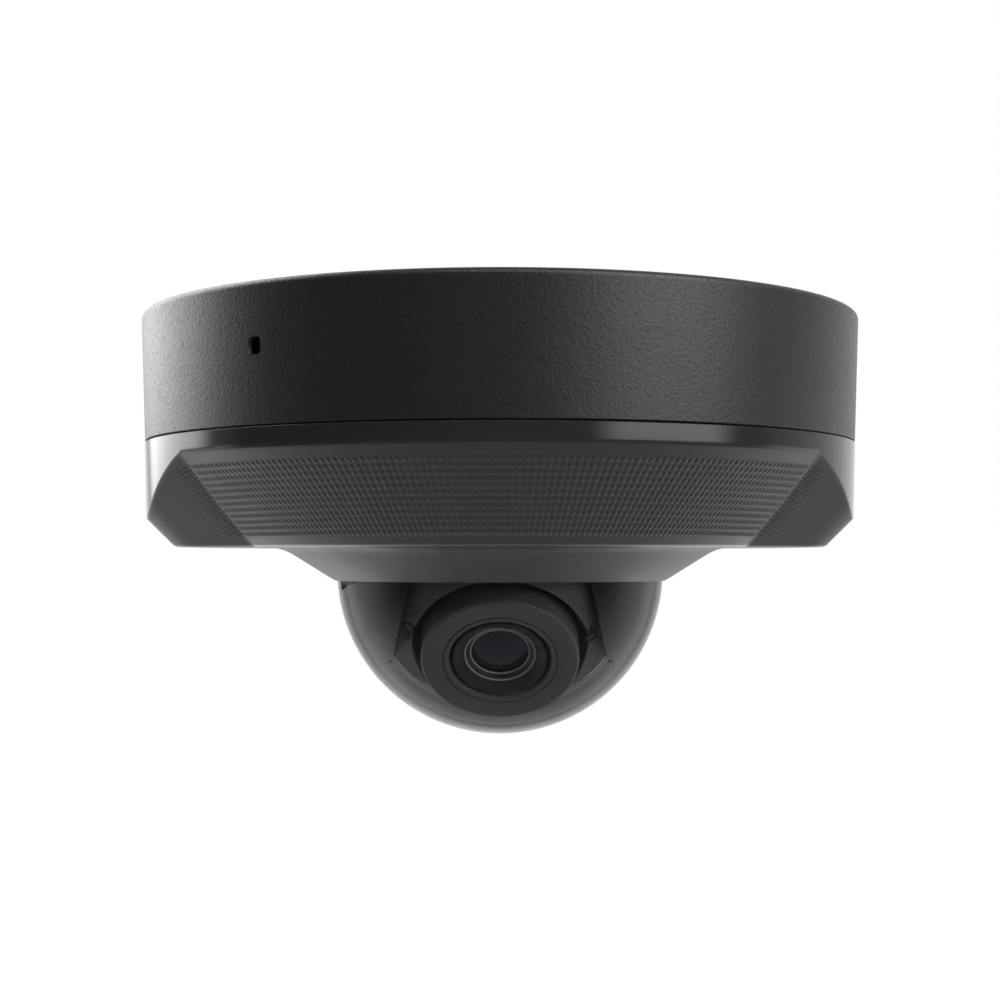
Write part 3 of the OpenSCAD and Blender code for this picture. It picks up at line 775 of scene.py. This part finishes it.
def make_lens():
    """The holder's face, the barrel, the trim ring, and the front and rear lenses."""
    groove = 8.35
    holder = [(10, 2), (10, 7.3), (FACE_R, 7.3), (FACE_R, FACE_AT - 0.35), (FACE_R - 0.35, FACE_AT),
              (groove + 0.14, FACE_AT), (groove + 0.1, FACE_AT - 0.25), (groove - 0.1, FACE_AT - 0.25),
              (groove - 0.14, FACE_AT), (7.7, FACE_AT), (7.45, FACE_AT - 0.25), (7.45, 12),
              (6.05, 12), (6.05, 2)]
    face = lathe("holder_face", rounded(holder, 0.08, 2), MATERIALS["turret_plastic"], 224, LENS_PLACE)
    stand_for(face, "lens_holder")
    barrel = [(6, 3), (6, 12.2), (7, 12.2), (7, BARREL_AT - 0.25), (6.8, BARREL_AT), (6.45, BARREL_AT),
              (5.95, BARREL_AT - 0.35), (5.9, BARREL_AT - 0.55), (5.6, BARREL_AT - 0.62),
              (5.55, BARREL_AT - 0.85), (5.25, BARREL_AT - 0.92), (5.2, 16.4), (4.2, 16.4), (4.2, 6),
              (3.2, 6), (3.2, 3)]
    body = lathe("barrel_body", rounded(barrel, 0.06, 2), MATERIALS["lens_black"], 192, LENS_PLACE)
    stand_for(body, "lens_barrel")
    trim = [(5.14, 18.3), (5.14, 18.82), (5.06, 18.92), (4.92, 18.92), (4.45, 18.5), (4.4, 18.3)]
    ring = lathe("trim_ring", rounded(trim, 0.04, 2), MATERIALS["trim_metal"], 192, LENS_PLACE)
    stand_for(ring, "lens_trim_ring")
    make_front_lens()
    edge_r, back_at, edge_at, crown = 4.1, 6.3, 7.4, 1.5
    rear = [(0, back_at), (edge_r, back_at)]
    for degrees in range(0, 90, 9):
        a = math.radians(degrees)
        rear.append((edge_r * math.cos(a), edge_at + crown * math.sin(a)))
    rear.append((0, edge_at + crown))
    stand_for(turned_solid("rear_element", rear, MATERIALS["coated_glass"], 128, LENS_PLACE), "rear_lens")


def make_front_lens():
    """The domed front lens and the spacer that shows behind it."""
    bulge, centre, rim = 8.2, 11.0, 4.33
    edge = math.degrees(math.acos(rim / bulge))
    profile = [(0, 16.5), (5.1, 16.5), (5.12, 18.2), (rim, 18.22)]
    profile += arc((0, centre), bulge, edge, 90, 24)
    lens = turned_solid("front_element", profile, MATERIALS["coated_glass"], 160, LENS_PLACE)
    lens.visible_shadow = False
    stand_for(lens, "front_lens")
    spacer = [(4.18, 15.6), (4.18, 16.3), (4.05, 16.38), (3.3, 15.9), (3.3, 15.6)]
    ring = lathe("lens_spacer", rounded(spacer, 0.04, 2), MATERIALS["trim_metal"], 160, LENS_PLACE)
    extra(ring, "lens")


def make_painted_highlights():
    """Thin light-coloured strips painted as highlights: two rings round the lens mouth, and one at the lower end
    of each dial flat.
    """
    rings = (("lens_highlight_outer", 5.13, 0.13, 19.0), ("lens_highlight_inner", 4.33, 0.12, 18.45))
    # Light-coloured rings at the lens mouth: painted highlights of the trim ring's edges
    for name, radius, tube, at in rings:
        ring = arc((radius, at), tube, 0, 337.5, 15)
        extra(lathe(name, ring, MATERIALS["painted_lens_highlight"], 160, LENS_PLACE), "lens")
    # A light-coloured strip along the lower end of each dial flat: a painted highlight of its edge
    for side in (-1, 1):
        normal = Vector((side * DIAL_NORMAL[0], DIAL_NORMAL[1], DIAL_NORMAL[2])).normalized()
        start = Vector((side * 15.9, -14.4, -4.5)) - normal * DIAL_AT
        end = Vector((side * 12.4, -16.8, -6.9)) - normal * DIAL_AT
        points = []
        steps, ring = 24, 10
        for k in range(steps + 1):
            t = k / steps
            spoke = (start.normalized() * (1 - t) + end.normalized() * t)
            spoke -= normal * spoke.dot(normal)
            centre = normal * DIAL_AT + spoke.normalized() * DIAL_R
            tube = 0.03 + 0.3 * (1 - t) ** 0.8 * min(1, 8 * t + 0.2)
            for j in range(ring):
                a = 2 * math.pi * j / ring
                across = spoke.normalized() * tube * math.cos(a)
                points.append(centre + across + normal * tube * 0.5 * math.sin(a))
        faces = [tuple(f) for f in grid_faces(steps + 1, ring, False).tolist()]
        faces += [tuple(range(ring)), tuple(range(steps * ring + ring - 1, steps * ring - 1, -1))]
        mesh = mesh_of("dial_highlight_strip", points, faces)
        mesh.transform(TURRET_PLACE)
        edge = link("dial_highlight_left" if side < 0 else "dial_highlight_right", mesh, MATERIALS["painted_dial_highlight"], 80)
        fix_normals(edge)
        extra(edge, "turret")


def dial_marks():
    """The numbers 90 on each side of the lens, as strokes half sunk in the dial flats."""
    stroke = 0.3
    digit_h, digit_w, gap = 2.0, 1.5, 0.55
    curve = bpy.data.curves.new("dial_marks", "CURVE")
    curve.dimensions = "3D"
    curve.bevel_depth = stroke / 2 * MM
    curve.bevel_resolution = 2

    def oval(cx, cy, rx, ry, start, end, steps=24):
        turns = [math.radians(start + (end - start) * k / steps) for k in range(steps + 1)]
        return [(cx + rx * math.cos(t), cy + ry * math.sin(t)) for t in turns]

    half_w = digit_w / 2
    bowl = digit_h * 0.27
    nine = [oval(-(digit_w + gap) / 2, digit_h / 2 - bowl, half_w, bowl, 0, 360),
            oval(-(digit_w + gap) / 2 - half_w * 0.2, digit_h / 2 - bowl, half_w * 1.2, digit_h - bowl,
                 0, -62, 12)]
    zero = [oval((digit_w + gap) / 2, 0, half_w, digit_h / 2, 0, 360)]
    for side in (-1, 1):
        # Frame of the flat: out of it, away from the lens, and along the lens's up direction
        out = Vector((side * DIAL_NORMAL[0], DIAL_NORMAL[1], DIAL_NORMAL[2])).normalized()
        up = Vector((side, 0, 0)) - out * out.dot(Vector((side, 0, 0)))
        up.normalize()
        right = up.cross(out)
        centre = Vector((side * 13.3, 0, 2.25))
        centre.y = (DIAL_AT - out.dot(centre)) / out.y
        for points in nine + zero:
            spline = curve.splines.new("POLY")
            spline.points.add(len(points) - 1)
            for target, (x, y) in zip(spline.points, points):
                p = centre + right * x + up * y
                target.co = (*(TURRET_PLACE @ (p * MM)), 1)
    marks = bpy.data.objects.new("dial_marks", curve)
    bpy.context.scene.collection.objects.link(marks)
    curve.materials.append(MATERIALS["dial_ink"])
    extra(marks, "turret")


# ---- stage ----

def emitter(name, centre, size, strength, aim=Vector((0, 0, -0.03))):
    """A soft box: a plane that shines towards the object and that the camera doesn't see."""
    mesh = bpy.data.meshes.new(name)
    w, h = size[0] / 2, size[1] / 2
    mesh.from_pydata([(-w, -h, 0), (w, -h, 0), (w, h, 0), (-w, h, 0)], [], [(0, 1, 2, 3)])
    corners = mesh.uv_layers.new(name="across")
    for corner, spot in zip(corners.data, ((0, 0), (1, 0), (1, 1), (0, 1))):
        corner.uv = spot
    obj = bpy.data.objects.new(name, mesh)
    bpy.context.scene.collection.objects.link(obj)
    obj.location = centre
    obj.rotation_mode = "QUATERNION"
    obj.rotation_quaternion = (aim - Vector(centre)).to_track_quat("Z", "Y")
    mat = bpy.data.materials.new(name)
    mat.use_nodes = True
    tree = mat.node_tree
    tree.nodes.remove(tree.nodes["Principled BSDF"])
    shine = tree.nodes.new("ShaderNodeEmission")
    place = tree.nodes.new("ShaderNodeTexCoord")
    split = tree.nodes.new("ShaderNodeSeparateXYZ")
    tree.links.new(place.outputs["UV"], split.inputs[0])
    share = None
    for axis in ("X", "Y"):
        # 0 at each edge, 1 from a fifth of the way in
        fold = calculate(tree, "ABSOLUTE", calculate(tree, "SUBTRACT", split.outputs[axis], 0.5), 0)
        fall = spread(tree, fold, 0.3, 0.5, 1.0, 0.0)
        share = fall if share is None else calculate(tree, "MULTIPLY", share, fall)
    tree.links.new(calculate(tree, "MULTIPLY", share, strength), shine.inputs["Strength"])
    tree.links.new(shine.outputs[0], tree.nodes["Material Output"].inputs["Surface"])
    mesh.materials.append(mat)
    obj.visible_camera = False
    return obj


def soft_box(name, azimuth, elevation, distance, size, strength):
    """A soft box at an azimuth from the front, positive towards +X."""
    a, e = math.radians(azimuth), math.radians(elevation)
    level = distance * math.cos(e)
    centre = (level * math.sin(a), -level * math.cos(a), distance * math.sin(e))
    return emitter(name, centre, size, strength)


def make_floor():
    """A pale floor below the object, which gives off light at some distance towards the back."""
    mesh = bpy.data.meshes.new("floor")
    half = 40.0
    level = -0.55
    corners = [(-half, -half, 0), (half, -half, 0), (half, half, 0), (-half, half, 0)]
    mesh.from_pydata(corners, [], [(0, 1, 2, 3)])
    floor = bpy.data.objects.new("floor", mesh)
    floor.location.z = level
    bpy.context.scene.collection.objects.link(floor)
    mat, tree, shader = start_material("floor", (0.4, 0.4, 0.4), 0.9)
    where = coordinates(tree)
    tree.links.new(between(tree, noise(tree, where, 30, 3), (0.38, 0.38, 0.38), (0.4, 0.4, 0.4)),
                   shader.inputs["Base Color"])
    shader.inputs["Emission Color"].default_value = (1, 1, 1, 1)
    reach = tree.nodes.new("ShaderNodeVectorMath")
    reach.operation = "LENGTH"
    tree.links.new(where, reach.inputs[0])
    outer = spread(tree, reach.outputs["Value"], 0.3, 0.75, 0.0, 0.95)
    split = tree.nodes.new("ShaderNodeSeparateXYZ")
    tree.links.new(where, split.inputs[0])
    behind = spread(tree, split.outputs["Y"], -0.25, 0.4, 0.0, 1.0)
    tree.links.new(calculate(tree, "MULTIPLY", outer, behind), shader.inputs["Emission Strength"])
    mesh.materials.append(mat)


def make_world():
    """White to the camera. Its light is full from the back and falls to little at the front."""
    world = bpy.data.worlds.new("studio")
    bpy.context.scene.world = world
    world.use_nodes = True
    tree = world.node_tree
    back = tree.nodes["Background"]
    back.inputs["Color"].default_value = (1, 1, 1, 1)
    place = tree.nodes.new("ShaderNodeTexCoord")
    split = tree.nodes.new("ShaderNodeSeparateXYZ")
    tree.links.new(place.outputs["Generated"], split.inputs[0])
    dark = spread(tree, split.outputs["Y"], -0.1, 0.8, 0.05, 1.0)
    seen = tree.nodes.new("ShaderNodeLightPath")
    level = tree.nodes.new("ShaderNodeMix")
    tree.links.new(seen.outputs["Is Camera Ray"], level.inputs["Factor"])
    tree.links.new(dark, level.inputs["A"])
    level.inputs["B"].default_value = 1.0
    tree.links.new(level.outputs["Result"], back.inputs["Strength"])


def make_camera():
    """The main view: in front of the middle, at the height of the collar, aimed slightly upwards."""
    data = bpy.data.cameras.new("camera")
    camera = bpy.data.objects.new("camera", data)
    bpy.context.scene.collection.objects.link(camera)
    data.lens = 62.9
    data.sensor_width = 36
    data.clip_start = 0.01
    pitch = math.radians(1.852)
    camera.location = (0, -4.96 * 0.055, -0.0367)
    camera.rotation_euler = (math.pi / 2 + pitch, 0, 0)
    bpy.context.scene.camera = camera


dress_frame()
make_housing()
make_cover()
make_texture()
make_dome()
make_lens()
make_painted_highlights()
dial_marks()
make_floor()
make_world()
soft_box("soft_box_left", -124, 27, 1.0, (1.15, 1.35), 5.0)
soft_box("soft_box_right", 51, 27, 1.0, (1.0, 1.35), 4.1)
soft_box("soft_box_top", 0, 52, 1.1, (1.0, 0.5), 3.0)
make_camera()
bpy.context.scene.view_settings.view_transform = "Standard"
